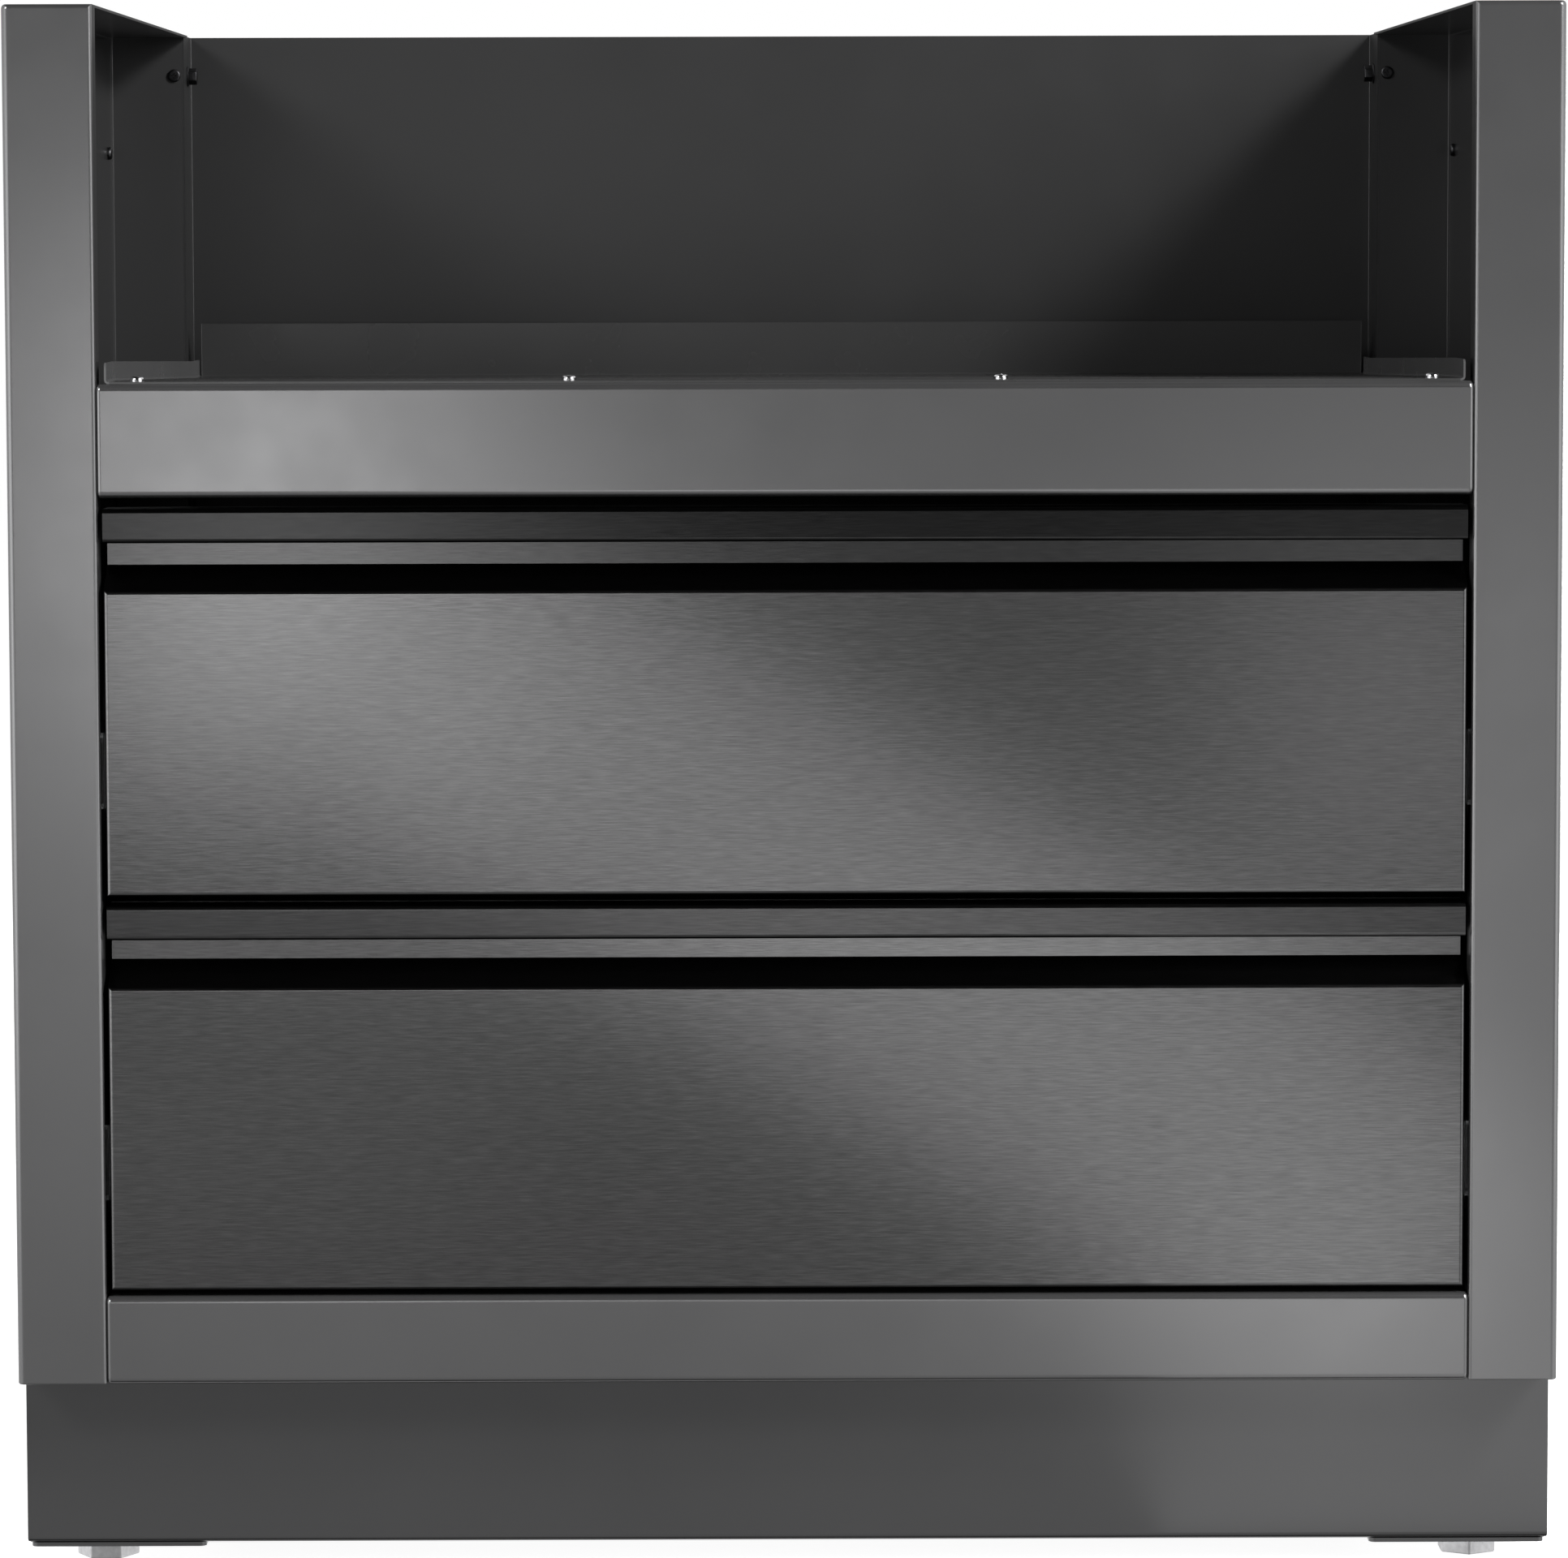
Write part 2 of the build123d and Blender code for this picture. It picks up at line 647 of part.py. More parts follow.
for drawer, level in drawer_levels.items():
    save(f"{drawer}_drawer_front", drawer_front(level))
    save(f"{drawer}_handle_rail", handle_rail(level))
    save(f"{drawer}_drawer_inner_front", inner_front(level))
    right_box_side = box_side(level)
    save(f"{drawer}_drawer_right_side", right_box_side)
    save(f"{drawer}_drawer_left_side", mirrored(right_box_side))
    save(f"{drawer}_drawer_bottom", box_bottom(level))
    save(f"{drawer}_drawer_back", box_back(level))


# Fasteners
def screw(head_height, grip):
    """Pan-head screw along Z: the head stands on the XY plane and the shank goes down through the grip."""
    return pan_head(screw_head, head_height) + rod_z(0, 0, -grip, head_height / 2, screw_shank)


def bolt(grip):
    """Flanged hexagon bolt along Z with its nut as a separate solid under the grip."""
    washer = Cylinder(bolt_washer / 2, bolt_washer_height, align=(Align.CENTER, Align.CENTER, Align.MIN))
    head = Pos(0, 0, bolt_washer_height) * hexagon(bolt_flats, bolt_head_height)
    shank = rod_z(0, 0, -grip - bolt_nut_height, bolt_washer_height, bolt_shank)
    nut = Pos(0, 0, -grip - bolt_nut_height) * hexagon(bolt_flats, bolt_nut_height)
    nut -= rod_z(0, 0, -grip - bolt_nut_height - past, -grip + past, bolt_shank + hole_clearance)
    return washer + head + shank, nut


along_x = Rot(0, -90, 0)      # turns a +Z head to face -X
along_y = Rot(90, 0, 0)       # turns a +Z head to face -Y

shield_screw = screw(screw_head_height, shield_sheet + 2 * panel_sheet)
shield_top = shield_z + shield_sheet
save("shield_screws", *[Pos(x, shield_screw_y, shield_top) * shield_screw for x in shield_screw_xs])

bolts = []
nuts = []
for bolt_level in bolt_levels:
    placed = Pos(rear_edge_x - panel_sheet, bolt_y, bolt_level) * along_x
    bolt_solid, nut_solid = bolt(2 * panel_sheet)
    bolts += [placed * bolt_solid, mirrored(placed * bolt_solid)]
    nuts += [placed * nut_solid, mirrored(placed * nut_solid)]
save("back_panel_bolts", *bolts)
save("back_panel_nuts", *nuts)

flange_screw = Pos(flange_screw_x, rear_y - panel_sheet, bolt_levels[0]) * along_y * screw(
    flat_head_height, 2 * panel_sheet)
save("rear_flange_screws", flange_screw, mirrored(flange_screw))

side_screw = Pos(wall_x, side_screw_y, side_screw_z) * along_x * screw(screw_head_height, panel_sheet)
save("side_wall_screws", side_screw, mirrored(side_screw))

plinth_screws = [Pos(x, y, carcass_z + panel_sheet) * screw(screw_head_height, 3 * panel_sheet)
                 for x in (-plinth_screw_x, plinth_screw_x) for y in plinth_screw_ys]
save("plinth_screws", *plinth_screws)

outer_member_screw = along_x * screw(flat_head_height, slide_sheet + 2 * panel_sheet)
inner_member_screw = Rot(0, 90, 0) * screw(flat_head_height, slide_sheet + 2 * drawer_sheet)
cabinet_slide_screws = []
for drawer, level in drawer_levels.items():
    drawer_slide_screws = []
    for y in slide_screw_ys:
        fixed = Pos(opening_x - slide_sheet, y, slide_centre(level)) * outer_member_screw
        cabinet_slide_screws += [fixed, mirrored(fixed)]
        moving = Pos(opening_x - inner_web, y, slide_centre(level)) * inner_member_screw
        drawer_slide_screws += [moving, mirrored(moving)]
    save(f"{drawer}_slide_screws", *drawer_slide_screws)
save("cabinet_slide_screws", *cabinet_slide_screws)
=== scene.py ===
"""Looks of the grill cabinet: its coats, brushed fronts, detailed fasteners, floor, light and camera."""
import math

import bmesh
import bpy
from mathutils import Matrix, Quaternion, Vector


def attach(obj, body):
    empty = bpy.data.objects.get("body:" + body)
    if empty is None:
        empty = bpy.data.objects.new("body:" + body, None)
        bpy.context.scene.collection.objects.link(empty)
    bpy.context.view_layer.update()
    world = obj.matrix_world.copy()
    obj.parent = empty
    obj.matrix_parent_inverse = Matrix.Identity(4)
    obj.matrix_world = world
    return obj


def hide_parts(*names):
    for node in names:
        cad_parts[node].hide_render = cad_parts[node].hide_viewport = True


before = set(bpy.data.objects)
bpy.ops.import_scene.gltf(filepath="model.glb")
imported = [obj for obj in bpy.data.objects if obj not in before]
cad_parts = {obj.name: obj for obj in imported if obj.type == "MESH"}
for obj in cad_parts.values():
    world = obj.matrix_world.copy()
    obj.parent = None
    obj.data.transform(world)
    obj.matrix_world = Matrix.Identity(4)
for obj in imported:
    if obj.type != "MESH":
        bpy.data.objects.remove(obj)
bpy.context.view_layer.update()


# Carcass: side panels, front rails, plinth channels and corner plates of folded mild steel.
# The sheets are welded up and then powder coated together in a satin charcoal with a fine metallic
# flake, so the colour drifts a little over a panel and the skin has a faint orange peel.
def new_finish(name):
    """A material with its node tree, its Principled shader and the object's own coordinates."""
    material = bpy.data.materials.new(name)
    material.use_nodes = True
    tree = material.node_tree
    shader = tree.nodes["Principled BSDF"]
    place = tree.nodes.new("ShaderNodeTexCoord").outputs["Object"]
    return material, tree, shader, place


def noise(tree, place, scale, detail=2.0, stretch=(1.0, 1.0, 1.0)):
    """Noise over the piece: scale counts features in a metre, stretch makes them finer along an axis."""
    mapping = tree.nodes.new("ShaderNodeMapping")
    mapping.inputs["Scale"].default_value = stretch
    texture = tree.nodes.new("ShaderNodeTexNoise")
    texture.inputs["Scale"].default_value = scale
    texture.inputs["Detail"].default_value = detail
    tree.links.new(place, mapping.inputs["Vector"])
    tree.links.new(mapping.outputs["Vector"], texture.inputs["Vector"])
    return texture.outputs["Fac"]


def span(tree, value, low, high):
    """Spreads the middle of a noise over a range of values."""
    mapped = tree.nodes.new("ShaderNodeMapRange")
    mapped.inputs["From Min"].default_value = 0.3
    mapped.inputs["From Max"].default_value = 0.7
    mapped.inputs["To Min"].default_value = low
    mapped.inputs["To Max"].default_value = high
    tree.links.new(value, mapped.inputs["Value"])
    return mapped.outputs["Result"]


def tint(tree, value, dark, light):
    """Colours a noise from a dark grey to a light one."""
    ramp = tree.nodes.new("ShaderNodeValToRGB")
    ramp.color_ramp.elements[0].position = 0.3
    ramp.color_ramp.elements[1].position = 0.7
    ramp.color_ramp.elements[0].color = (*dark, 1.0)
    ramp.color_ramp.elements[1].color = (*light, 1.0)
    tree.links.new(value, ramp.inputs["Fac"])
    return ramp.outputs["Color"]


def bump(tree, shader, height, strength, depth):
    """Lets a height pattern, depth metres deep, shape the shading."""
    node = tree.nodes.new("ShaderNodeBump")
    node.inputs["Strength"].default_value = strength
    node.inputs["Distance"].default_value = depth
    tree.links.new(height, node.inputs["Height"])
    tree.links.new(node.outputs["Normal"], shader.inputs["Normal"])


def powder_coat(name, dark, light, rough, metallic):
    material, tree, shader, place = new_finish(name)
    shader.inputs["Metallic"].default_value = metallic
    cloudy = noise(tree, place, 5.0, 3.0)
    tree.links.new(tint(tree, cloudy, dark, light), shader.inputs["Base Color"])
    tree.links.new(span(tree, noise(tree, place, 25.0, 3.0), *rough), shader.inputs["Roughness"])
    bump(tree, shader, noise(tree, place, 700.0, 2.0), 0.1, 0.00005)
    return material


def step(tree, value, operation, limit):
    """One where a coordinate is above or below a limit in metres, else nothing."""
    test = tree.nodes.new("ShaderNodeMath")
    test.operation = operation
    test.inputs[1].default_value = limit
    tree.links.new(value, test.inputs[0])
    return test.outputs[0]


def unsigned(tree, value):
    """A coordinate without its sign, so that left and right count alike."""
    positive = tree.nodes.new("ShaderNodeMath")
    positive.operation = "ABSOLUTE"
    tree.links.new(value, positive.inputs[0])
    return positive.outputs[0]


def both(tree, first, second):
    product = tree.nodes.new("ShaderNodeMath")
    product.operation = "MULTIPLY"
    tree.links.new(first, product.inputs[0])
    tree.links.new(second, product.inputs[1])
    return product.outputs[0]


def blend_colours(tree, share, first, second):
    colour = tree.nodes.new("ShaderNodeMix")
    colour.data_type = "RGBA"
    tree.links.new(share, colour.inputs["Factor"])
    tree.links.new(first, colour.inputs["A"])
    tree.links.new(second, colour.inputs["B"])
    return colour.outputs["Result"]


def paint_inside_shade(material, dark, light, metallic):
    """Less flake on the hollow side of a side panel, behind its front, wall and top, and painted shade
    there: a much darker colour.
    """
    tree = material.node_tree
    shader = tree.nodes["Principled BSDF"]
    place = tree.nodes["Texture Coordinate"].outputs["Object"]
    outside = shader.inputs["Base Color"].links[0].from_socket
    axes = tree.nodes.new("ShaderNodeSeparateXYZ")
    tree.links.new(place, axes.inputs["Vector"])
    wall_face = 0.4562
    front_face = -0.3408
    top_face = 0.9332
    hollow = both(tree, step(tree, unsigned(tree, axes.outputs["X"]), "LESS_THAN", wall_face),
                  both(tree, step(tree, axes.outputs["Y"], "GREATER_THAN", front_face),
                       step(tree, axes.outputs["Z"], "LESS_THAN", top_face)))
    # Painted shade: the hollow inside is painted far darker than the outside coat, for the shade inside the
    # bay.
    inside_shade_colour = tint(tree, noise(tree, place, 7.0, 3.0), dark, light)
    tree.links.new(blend_colours(tree, hollow, outside, inside_shade_colour), shader.inputs["Base Color"])
    flake = tree.nodes.new("ShaderNodeMapRange")
    flake.inputs["To Min"].default_value = shader.inputs["Metallic"].default_value
    flake.inputs["To Max"].default_value = metallic
    tree.links.new(hollow, flake.inputs["Value"])
    tree.links.new(flake.outputs["Result"], shader.inputs["Metallic"])


def dress(material, *nodes):
    """Gives every slot of these CAD nodes one finish."""
    for node in nodes:
        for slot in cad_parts[node].material_slots:
            slot.material = material


corners = ("front_left", "front_right", "rear_left", "rear_right")
carcass_coat = powder_coat("carcass_coat", (0.174, 0.174, 0.176), (0.186, 0.186, 0.188), (0.21, 0.24), 0.8)
dress(carcass_coat, "upper_front_rail", "bottom_front_rail")
# Painted shade: the plinth channels and corner plates get the carcass coat painted darker, for the shade
# under the cabinet.
plinth_shaded_coat = powder_coat("plinth_shaded_coat", (0.118, 0.118, 0.1195), (0.126, 0.126, 0.1275), (0.21, 0.24), 0.8)
dress(plinth_shaded_coat, "toe_kick", "plinth_rear", "plinth_left", "plinth_right")
dress(plinth_shaded_coat, *[f"corner_plate_{corner}" for corner in corners])
panel_coat = powder_coat("panel_coat", (0.174, 0.174, 0.176), (0.186, 0.186, 0.188), (0.21, 0.24), 0.8)
# The inside of the side panels is painted darker as painted shade of the bay.
paint_inside_shade(panel_coat, (0.042, 0.042, 0.0425), (0.047, 0.047, 0.0475), 0.2)
dress(panel_coat, "left_side_panel", "right_side_panel")


# Liner of the grill bay: back panel, cabinet floor, heat shield, its ledge and the slide channels.
# The same charcoal coat, flatter inside the cabinet and painted much darker there, as painted shade of the
# bay. On the heat shield the floor and the rear flange between the two folded sides are painted darker still
# as shade, and the folded sides lighter as lit.
def paint_shield_light_and_shade(material, dark, light):
    """Paints shade on the heat shield between its folded sides, which keep the lighter colour of lit folds.
    """
    tree = material.node_tree
    shader = tree.nodes["Principled BSDF"]
    place = tree.nodes["Texture Coordinate"].outputs["Object"]
    lit_side_colour = shader.inputs["Base Color"].links[0].from_socket
    axes = tree.nodes.new("ShaderNodeSeparateXYZ")
    tree.links.new(place, axes.inputs["Vector"])
    folded_side = 0.3965
    between = step(tree, unsigned(tree, axes.outputs["X"]), "LESS_THAN", folded_side)
    # Painted shade on the floor and rear flange between the folded sides.
    shaded_middle_colour = tint(tree, noise(tree, place, 7.0, 3.0), dark, light)
    tree.links.new(blend_colours(tree, between, lit_side_colour, shaded_middle_colour), shader.inputs["Base Color"])


# Painted shade: the back panel, floor and slide channels get the charcoal coat painted far darker, for the
# shade inside the bay.
liner_shaded_coat = powder_coat("liner_shaded_coat", (0.0405, 0.0405, 0.041), (0.0445, 0.0445, 0.045), (0.34, 0.38), 0.5)
dress(liner_shaded_coat, "back_panel", "base_panel")
# Painted light and shade: the folded sides of the shield painted lighter as lit, its floor and rear flange
# darker as shaded.
shield_lit_and_shaded_coat = powder_coat("shield_lit_and_shaded_coat", (0.1, 0.1, 0.101), (0.11, 0.11, 0.111), (0.24, 0.28), 0.2)
paint_shield_light_and_shade(shield_lit_and_shaded_coat, (0.043, 0.043, 0.0433), (0.049, 0.049, 0.0493))
dress(shield_lit_and_shaded_coat, "heat_shield", "shield_ledge")
for drawer in ("lower", "upper"):
    dress(liner_shaded_coat, f"slide_channel_{drawer}_left", f"slide_channel_{drawer}_right")


# Telescopic slides and weld nuts: cold-rolled steel with a bright zinc plate.
# The plating shows a faint crystal mottling and the marks of the rolling along the members.
def zinc_plate(name):
    material, tree, shader, place = new_finish(name)
    shader.inputs["Metallic"].default_value = 1.0
    cells = tree.nodes.new("ShaderNodeTexVoronoi")
    cells.inputs["Scale"].default_value = 220.0
    tree.links.new(place, cells.inputs["Vector"])
    tree.links.new(tint(tree, cells.outputs["Distance"], (0.52, 0.53, 0.54), (0.66, 0.67, 0.68)),
                   shader.inputs["Base Color"])
    tree.links.new(span(tree, noise(tree, place, 400.0, 2.0, (1.0, 0.05, 1.0)), 0.28, 0.42),
                   shader.inputs["Roughness"])
    bump(tree, shader, noise(tree, place, 900.0, 2.0, (1.0, 0.04, 1.0)), 0.1, 0.00005)
    return material


zinc = zinc_plate("zinc_plate")
dress(zinc, "foot_nuts", *[f"slide_{member}_{drawer}_{side}" for member in ("outer", "middle", "inner")
                           for drawer in ("lower", "upper") for side in ("left", "right")])


# Drawer boxes: inner fronts, sides, bottoms and backs of thin folded steel.
# Powder coated in a satin grey, a little rougher than the carcass.
box_coat = powder_coat("drawer_box_coat", (0.2, 0.2, 0.203), (0.235, 0.235, 0.238), (0.45, 0.52), 0.35)
for drawer in ("lower", "upper"):
    dress(box_coat, *[f"{drawer}_drawer_{piece}" for piece in
                      ("inner_front", "left_side", "right_side", "bottom", "back")])


# Drawer fronts and handle rails: dark stainless sheet, brushed along the width before it is folded.
# Fine scratches of two sizes lie over each other. The bar of a handle rail, the part that hangs in front of
# the pull, is painted darker than the wall behind it: a painted reflection standing in for the darker light
# its face reflects.
def brushed_steel(name, dark, light, bar_painted_shade):
    material, tree, shader, place = new_finish(name)
    shader.inputs["Metallic"].default_value = 1.0
    fine = noise(tree, place, 1600.0, 2.0, (0.05, 1.0, 1.0))
    broad = noise(tree, place, 700.0, 2.0, (0.05, 1.0, 1.0))
    layers = tree.nodes.new("ShaderNodeMix")
    layers.inputs["Factor"].default_value = 0.2
    tree.links.new(fine, layers.inputs["A"])
    tree.links.new(broad, layers.inputs["B"])
    scratches = layers.outputs["Result"]
    axes = tree.nodes.new("ShaderNodeSeparateXYZ")
    tree.links.new(place, axes.inputs["Vector"])
    # Painted reflection: the bar in front of the pull is tinted darker by the bar's share of the sheet
    # colour.
    bar_rear = -0.331
    bar_shade_mask = step(tree, axes.outputs["Y"], "LESS_THAN", bar_rear)
    sheet_colour = tint(tree, scratches, dark, light)
    shaded_bar_dark = [bar_painted_shade * value for value in dark]
    shaded_bar_light = [bar_painted_shade * value for value in light]
    painted_bar_shade_colour = tint(tree, scratches, shaded_bar_dark, shaded_bar_light)
    tree.links.new(blend_colours(tree, bar_shade_mask, sheet_colour, painted_bar_shade_colour), shader.inputs["Base Color"])
    tree.links.new(span(tree, scratches, 0.18, 0.205), shader.inputs["Roughness"])
    bump(tree, shader, scratches, 0.06, 0.00003)
    return material


front_steel = brushed_steel("brushed_sheet", (0.092, 0.092, 0.093), (0.145, 0.145, 0.146), 1.0)
dress(front_steel, "lower_drawer_front", "upper_drawer_front")
# The handle rails are tinted copies of the front steel: the upper painted darker as shade, the lower lighter
# as lit. The last figure paints each bar darker still as painted reflection.
upper_rail_shaded_steel = brushed_steel("brushed_upper_rail_shaded", (0.058, 0.058, 0.0585), (0.092, 0.092, 0.0925), 0.41)
dress(upper_rail_shaded_steel, "upper_handle_rail")
lower_rail_lit_steel = brushed_steel("brushed_lower_rail_lit", (0.11, 0.11, 0.111), (0.174, 0.174, 0.175), 0.5)
dress(lower_rail_lit_steel, "lower_handle_rail")


# Levelling feet: hexagons of plated steel on a threaded stem, 10 mm thick, that screws up through the
# corner plate into a weld nut. The sole and the top are chamfered and the stem has a rolled thread.
def bright_plate(name, dark, light, rough):
    material, tree, shader, place = new_finish(name)
    shader.inputs["Metallic"].default_value = 1.0
    tree.links.new(tint(tree, noise(tree, place, 300.0, 3.0), dark, light), shader.inputs["Base Color"])
    turning_marks = noise(tree, place, 1500.0, 2.0, (1.0, 1.0, 0.2))
    tree.links.new(span(tree, turning_marks, *rough), shader.inputs["Roughness"])
    return material


def thread(outer, core, low, high, pitch):
    """Profile points of a threaded length, from its low end to its high end."""
    turns = int((high - low) / pitch)
    points = []
    for turn in range(turns):
        points += [(core, low + turn * pitch), (outer, low + (turn + 0.5) * pitch)]
    return points + [(core, low + turns * pitch)]


def lathe(points, steps=20):
    """Turns a profile of radius and height points round Z into a closed shape."""
    shape = bmesh.new()
    corners_of_profile = [shape.verts.new((radius, 0.0, height)) for radius, height in points]
    edges = [shape.edges.new(pair) for pair in zip(corners_of_profile, corners_of_profile[1:])]
    bmesh.ops.spin(shape, geom=corners_of_profile + edges, axis=(0.0, 0.0, 1.0), cent=(0.0, 0.0, 0.0),
                   angle=math.tau, steps=steps, use_merge=True)
    bmesh.ops.remove_doubles(shape, verts=shape.verts, dist=0.000001)
    bmesh.ops.recalc_face_normals(shape, faces=shape.faces)
    return shape


def hexagon(flats, low, high, softness):
    """A hexagonal bar between two heights with softened edges, flats to the front and rear."""
    shape = bmesh.new()
    middle = Matrix.Translation((0.0, 0.0, (low + high) / 2))
    radius = flats / math.sqrt(3)
    bmesh.ops.create_cone(shape, cap_ends=True, segments=6, radius1=radius, radius2=radius, depth=high - low,
                          matrix=middle @ Matrix.Rotation(math.radians(30), 4, "Z"))
    bmesh.ops.bevel(shape, geom=shape.edges[:], offset=softness, segments=3, profile=0.5, affect="EDGES",
                    material=-1)
    return shape


def gather(shapes, places):
    """Copies the shapes to every place and joins them into one."""
    whole = bmesh.new()
    for shape in shapes:
        single = bpy.data.meshes.new("single")
        shape.to_mesh(single)
        shape.free()
        for place in places:
            count = len(whole.verts)
            whole.from_mesh(single)
            whole.verts.ensure_lookup_table()
            bmesh.ops.transform(whole, matrix=place, verts=whole.verts[count:])
        bpy.data.meshes.remove(single)
    return whole


def fit(name, shape, material, body, node):
    """Puts a detailed piece in the place of a CAD node, on the body that carries it."""
    mesh = bpy.data.meshes.new(name)
    shape.to_mesh(mesh)
    shape.free()
    mesh.materials.append(material)
    mesh.shade_smooth()
    mesh.set_sharp_from_angle(angle=math.radians(35))
    piece = bpy.data.objects.new(name, mesh)
    bpy.context.scene.collection.objects.link(piece)
    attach(piece, body)
    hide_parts(node)


foot_steel = bright_plate("foot_steel", (0.5, 0.5, 0.51), (0.62, 0.62, 0.63), (0.36, 0.46))
foot_turns = {"front_left": 0, "front_right": 30, "rear_left": 18, "rear_right": 9}
for corner, turn in foot_turns.items():
    foot_x = -0.413 if corner.endswith("left") else 0.413
    foot_y = -0.257 if corner.startswith("front") else 0.247
    place = Matrix.Translation((foot_x, foot_y, 0.0)) @ Matrix.Rotation(math.radians(turn), 4, "Z")
    stem = lathe([(0.0, 0.011), (0.0042, 0.011)] + thread(0.00495, 0.0042, 0.0135, 0.0705, 0.0015)
                 + [(0.0036, 0.073), (0.0, 0.073)])
    fit(f"levelling_foot_{corner}", gather([hexagon(0.0326, 0.0, 0.013, 0.0011), stem], [place]), foot_steel,
        f"foot_{corner}", f"foot_{corner}")


# Pan-head screws: cold-headed steel with a cross recess and a rolled thread, bright or black.
# They hold the heat shield on the upper rail, the floor on the plinth and the slide members.
def pan_screw(head_height, grip):
    """A screw along Z whose head stands on the XY plane."""
    head = 0.0043
    shank = 0.0024
    rounding = 0.6 * head_height
    slot_half = 0.0005
    slot_reach = 0.0017
    slot_depth = 0.0013
    near_top = head_height - 0.00002
    dome = [(head - rounding * (1.0 - math.cos(angle)), head_height - rounding * (1.0 - math.sin(angle)))
            for angle in (0.0, 0.4, 0.8, 1.2, math.pi / 2)]
    rolled = thread(shank - 0.00003, shank - 0.0004, 0.0003 - grip, 0.0, 0.0008)
    shape = lathe([(0.0, -grip), (shank - 0.0006, -grip)] + rolled + [(head, 0.0)] + dome
                  + [(0.0, head_height)])
    top = [face for face in shape.faces if face.calc_center_median().z > near_top]
    bmesh.ops.dissolve_faces(shape, faces=top)
    for limit in (slot_half, slot_reach):
        for normal in ((1.0, 0.0, 0.0), (-1.0, 0.0, 0.0), (0.0, 1.0, 0.0), (0.0, -1.0, 0.0)):
            top = [face for face in shape.faces if face.calc_center_median().z > near_top]
            edges = {edge for face in top for edge in face.edges}
            points = {point for face in top for point in face.verts}
            bmesh.ops.bisect_plane(shape, geom=top + list(edges | points), plane_co=Vector(normal) * limit,
                                   plane_no=normal)
    recess = []
    for face in shape.faces:
        centre = face.calc_center_median()
        across = sorted((abs(centre.x), abs(centre.y)))
        if centre.z > near_top and across[0] < slot_half and across[1] < slot_reach:
            recess.append(face)
    sunk = [part for part in bmesh.ops.extrude_face_region(shape, geom=recess)["geom"]
            if isinstance(part, bmesh.types.BMVert)]
    bmesh.ops.delete(shape, geom=[face for face in recess if face.is_valid], context="FACES")
    bmesh.ops.scale(shape, vec=(0.8, 0.8, 1.0), verts=sunk)
    bmesh.ops.translate(shape, vec=(0.0, 0.0, -slot_depth), verts=sunk)
    bmesh.ops.recalc_face_normals(shape, faces=shape.faces)
    return shape


def heads_up(x, y, z):
    return Matrix.Translation((x, y, z)) @ Matrix.Rotation(math.radians(30.0 * x + 70.0 * y), 4, "Z")


def heads_inward(x, y, z):
    """Head to the middle of the cabinet."""
    return Matrix.Translation((x, y, z)) @ Matrix.Rotation(math.radians(-90 if x > 0 else 90), 4, "Y")


def heads_outward(x, y, z):
    return Matrix.Translation((x, y, z)) @ Matrix.Rotation(math.radians(90 if x > 0 else -90), 4, "Y")


bright_screw = bright_plate("plated_screw", (0.5, 0.5, 0.51), (0.6, 0.6, 0.61), (0.15, 0.25))
slide_levels = {"lower": 0.2478, "upper": 0.4824}
slide_screw_ys = (-0.251, -0.036, 0.179)
shield_places = [heads_up(x, -0.329, 0.7136) for x in (-0.381, -0.127, 0.127, 0.381)]
fit("heat_shield_screws", gather([pan_screw(0.003, 0.0042)], shield_places),
    bright_screw, "cabinet", "shield_screws")
floor_places = [heads_up(x, y, 0.1208) for x in (-0.443, 0.443) for y in (-0.15, 0.0, 0.15)]
fit("floor_screws", gather([pan_screw(0.003, 0.0045)], floor_places),
    bright_screw, "cabinet", "plinth_screws")
outer_places = [heads_inward(x, y, z) for x in (-0.4028, 0.4028) for y in slide_screw_ys
                for z in slide_levels.values()]
fit("outer_member_screws", gather([pan_screw(0.002, 0.0042)], outer_places),
    bright_screw, "cabinet", "cabinet_slide_screws")
for drawer, z in slide_levels.items():
    inner_places = [heads_outward(x, y, z) for x in (-0.3925, 0.3925) for y in slide_screw_ys]
    fit(f"{drawer}_member_screws", gather([pan_screw(0.002, 0.0036)], inner_places),
        bright_screw, f"{drawer}_drawer", f"{drawer}_slide_screws")
black_oxide = bright_plate("black_oxide", (0.03, 0.03, 0.032), (0.06, 0.06, 0.062), (0.3, 0.45))
head_to_front = Matrix.Rotation(math.radians(90), 4, "X")
flange_places = [Matrix.Translation((x, 0.2895, 0.9069)) @ head_to_front for x in (-0.4129, 0.4129)]
fit("flange_screws", gather([pan_screw(0.002, 0.003)], flange_places),
    black_oxide, "cabinet", "rear_flange_screws")
wall_places = [heads_inward(x, 0.256, 0.8539) for x in (-0.4555, 0.4555)]
fit("wall_screws", gather([pan_screw(0.003, 0.0015)], wall_places),
    black_oxide, "cabinet", "side_wall_screws")


# Bolts of the back panel: flanged hexagon heads in the bay with nuts outside, black oxide steel.
# They clamp the sides of the back panel to the returns of the side panels.
bolt_places = [heads_inward(x, 0.317, z) for x in (-0.4065, 0.4065) for z in (0.9069, 0.5266, 0.1733)]
flange = lathe([(0.0, 0.0), (0.007, 0.0), (0.007, 0.0006), (0.0062, 0.0012), (0.005, 0.0015), (0.0, 0.0015)],
               steps=28)
shank = lathe([(0.0, -0.008), (0.0024, -0.008)] + thread(0.00297, 0.0025, -0.0077, -0.0005, 0.001)
              + [(0.0025, 0.0), (0.0, 0.0)])
fit("flanged_bolts", gather([flange, hexagon(0.01, 0.001, 0.0067, 0.0006), shank], bolt_places),
    black_oxide, "cabinet", "back_panel_bolts")
dress(black_oxide, "back_panel_nuts")


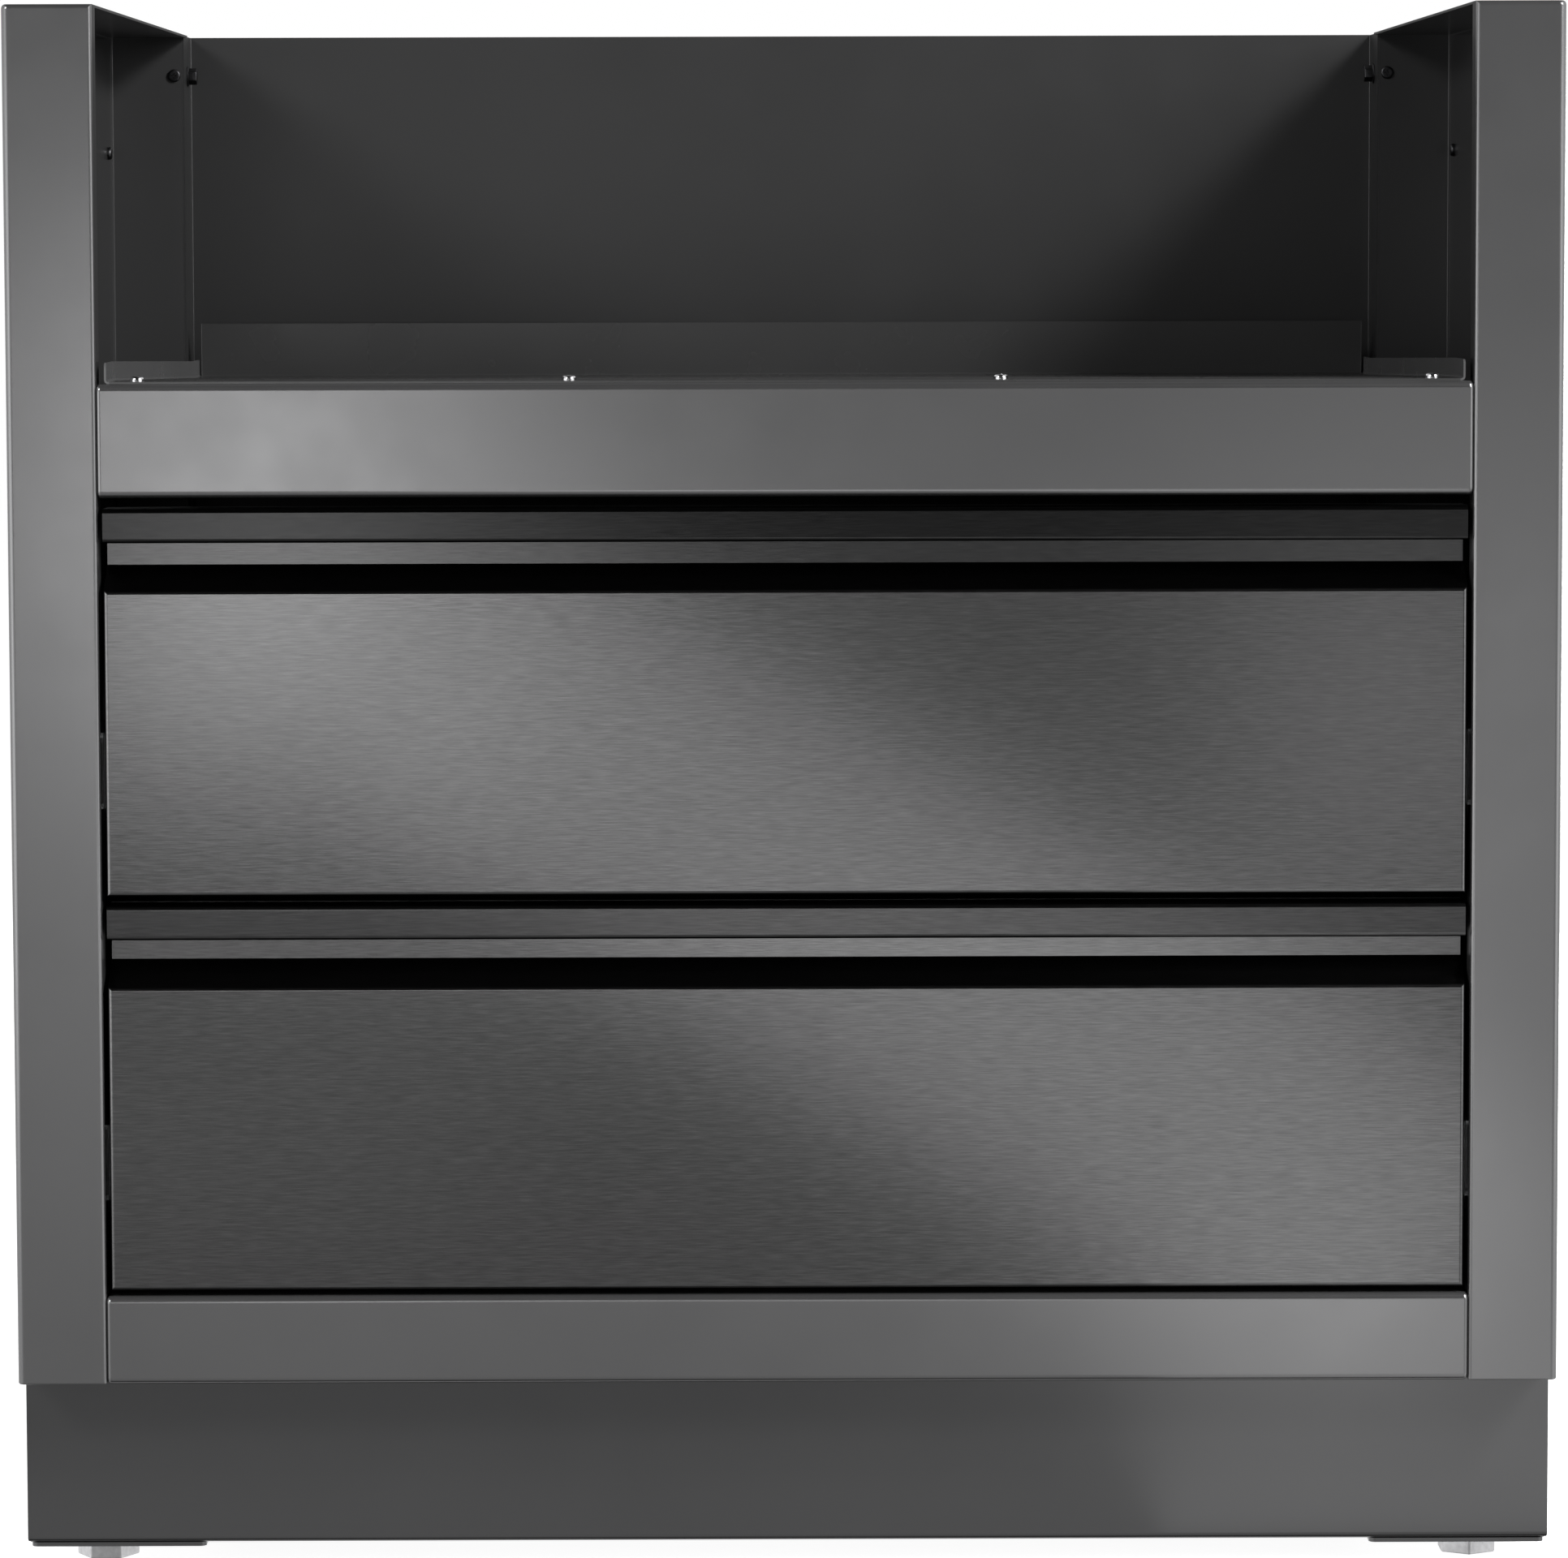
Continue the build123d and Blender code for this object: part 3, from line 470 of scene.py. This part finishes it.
# Floor: a pale acrylic sweep that is lit from below, so it stays near white under the cabinet.
floor_shape = bmesh.new()
bmesh.ops.create_circle(floor_shape, cap_ends=True, radius=30.0, segments=96)
floor_mesh = bpy.data.meshes.new("floor")
floor_shape.to_mesh(floor_mesh)
floor_shape.free()
floor = bpy.data.objects.new("floor", floor_mesh)
bpy.context.scene.collection.objects.link(floor)
acrylic, tree, shader, place = new_finish("pale_acrylic")
tree.links.new(tint(tree, noise(tree, place, 1.5, 2.0), (0.74, 0.74, 0.74), (0.78, 0.78, 0.78)),
               shader.inputs["Base Color"])
shader.inputs["Roughness"].default_value = 0.7
shader.inputs["Emission Color"].default_value = (1.0, 1.0, 1.0, 1.0)
shader.inputs["Emission Strength"].default_value = 0.93
floor_mesh.materials.append(acrylic)
floor.visible_glossy = False
floor.visible_diffuse = False

# Studio: white paper behind the cabinet, and softly clouded walls at its sides and rear that its panels
# mirror. The wall in front is dimmer and the room is dark overhead and nearly dark over the back panel,
# so the floor of the bay and the level folds stay dark.
studio = bpy.data.worlds.new("studio")
bpy.context.scene.world = studio
studio.use_nodes = True
studio.cycles_visibility.diffuse = False
room = studio.node_tree


def ramp_between(tree, value, start, end, low, high):
    """Smooth change from a low to a high value between two limits."""
    smooth = tree.nodes.new("ShaderNodeMapRange")
    smooth.interpolation_type = "SMOOTHSTEP"
    smooth.inputs["From Min"].default_value = start
    smooth.inputs["From Max"].default_value = end
    smooth.inputs["To Min"].default_value = low
    smooth.inputs["To Max"].default_value = high
    tree.links.new(value, smooth.inputs["Value"])
    return smooth.outputs["Result"]


def lighter(tree, first, second):
    highest = tree.nodes.new("ShaderNodeMath")
    highest.operation = "MAXIMUM"
    tree.links.new(first, highest.inputs[0])
    tree.links.new(second, highest.inputs[1])
    return highest.outputs[0]


direction = room.nodes.new("ShaderNodeTexCoord").outputs["Generated"]
heading = room.nodes.new("ShaderNodeSeparateXYZ")
room.links.new(direction, heading.inputs["Vector"])
sideways = unsigned(room, heading.outputs["X"])
side_walls = ramp_between(room, sideways, 0.35, 0.75, 0.0, 1.0)
over_back = both(room, ramp_between(room, heading.outputs["Z"], -0.03, 0.0, 0.0, 1.0),
                 ramp_between(room, sideways, 0.3, 0.55, 1.0, 0.0))
rear_wall = both(room, ramp_between(room, heading.outputs["Y"], -0.1, 0.35, 0.0, 1.0),
                 ramp_between(room, over_back, 0.0, 1.0, 1.0, 0.12))
front_wall = both(room, ramp_between(room, heading.outputs["Y"], -0.6, -0.2, 1.0, 0.0),
                  ramp_between(room, heading.outputs["Z"], -0.06, 0.08, 0.48, 0.0))
around = lighter(room, lighter(room, side_walls, rear_wall), front_wall)
walls = both(room, around, span(room, noise(room, direction, 1.1, 1.0), 0.8, 1.3))
paper = room.nodes.new("ShaderNodeMix")
paper.inputs["B"].default_value = 1.0
room.links.new(room.nodes.new("ShaderNodeLightPath").outputs["Is Camera Ray"], paper.inputs["Factor"])
room.links.new(walls, paper.inputs["A"])
surround = room.nodes["Background"]
surround.inputs["Color"].default_value = (1.0, 1.0, 1.0, 1.0)
room.links.new(paper.outputs["Result"], surround.inputs["Strength"])


def soft_box(name, place, aim, width, height, power, roll=0.0):
    """A rectangular area light, turned to a point, rolled by some degrees and kept out of the picture."""
    light = bpy.data.lights.new(name, "AREA")
    light.shape = "RECTANGLE"
    light.size = width
    light.size_y = height
    light.energy = power
    lamp = bpy.data.objects.new(name, light)
    bpy.context.scene.collection.objects.link(lamp)
    lamp.location = place
    turn = (Vector(aim) - Vector(place)).to_track_quat("-Z", "Y")
    lamp.rotation_euler = (turn @ Quaternion((0.0, 0.0, 1.0), math.radians(roll))).to_euler()
    lamp.visible_camera = False


# Key lights high on the right, which throw the shadow of the right side panel into the bay, and a fill
# high on the left.
soft_box("key_front", (3.2, -3.2, 3.0), (0.0, 0.0, 0.7), 0.8, 0.8, 80.0)
soft_box("key_side", (2.7, -2.2, 3.2), (0.0, 0.0, 0.7), 0.8, 0.8, 145.0)
soft_box("key_low", (2.6, -2.6, 1.75), (0.0, 0.0, 0.7), 1.0, 0.9, 30.0)
soft_box("fill_left", (-2.5, -3.0, 2.5), (0.0, 0.0, 0.7), 1.0, 1.0, 65.0)
# Strips beside the cabinet draw a thin light along the upright folds, a broad one softens the left edge,
# and a low one behind, hidden by the back panel, lights the rear.
soft_box("strip_left", (-2.0, -1.1, 0.48), (0.0, -0.343, 0.48), 1.2, 0.95, 4.5)
soft_box("strip_right", (2.0, -1.1, 0.48), (0.0, -0.343, 0.48), 1.2, 0.95, 3.0)
soft_box("edge_left", (-1.9, -2.2, 0.5), (-0.4, -0.3, 0.5), 1.4, 1.0, 5.0)
soft_box("rear_low", (0.8, 3.2, 0.55), (0.0, 0.343, 0.5), 2.0, 0.75, 60.0)
# Soft boxes in front, which the satin fronts mirror. A long one hung at a slant gives the band that runs
# down across the drawers, two lighten its upper left end and the right, and two lie on the floor.
soft_box("slanted", (0.13, -1.35, 0.25), (0.13, 0.0, 0.25), 0.9, 0.25, 0.78, roll=-30.0)
soft_box("upper_left", (-0.51, -2.85, 0.54), (-0.51, 0.0, 0.54), 0.34, 0.5, 1.8)
soft_box("middle_right", (0.62, -2.85, 0.33), (0.62, 0.0, 0.33), 0.35, 0.35, 0.33)
soft_box("floor_right", (0.48, -1.03, 0.002), (0.48, -1.03, 1.0), 0.5, 1.3, 0.85)
soft_box("floor_left", (-0.5, -2.3, 0.002), (-0.5, -2.3, 1.0), 0.5, 1.2, 0.4)

# Camera: where the photographer stood, almost square to the front and a little under the top.
camera_data = bpy.data.cameras.new("camera")
camera_data.sensor_width = 36.0
camera_data.lens = 148.38
camera = bpy.data.objects.new("camera", camera_data)
bpy.context.scene.collection.objects.link(camera)
camera.location = (-0.01373, -4.1366, 0.80341)
camera.rotation_euler = (math.radians(85.1137), math.radians(0.1561), math.radians(-0.202))
bpy.context.scene.camera = camera
bpy.context.scene.view_settings.view_transform = "Standard"
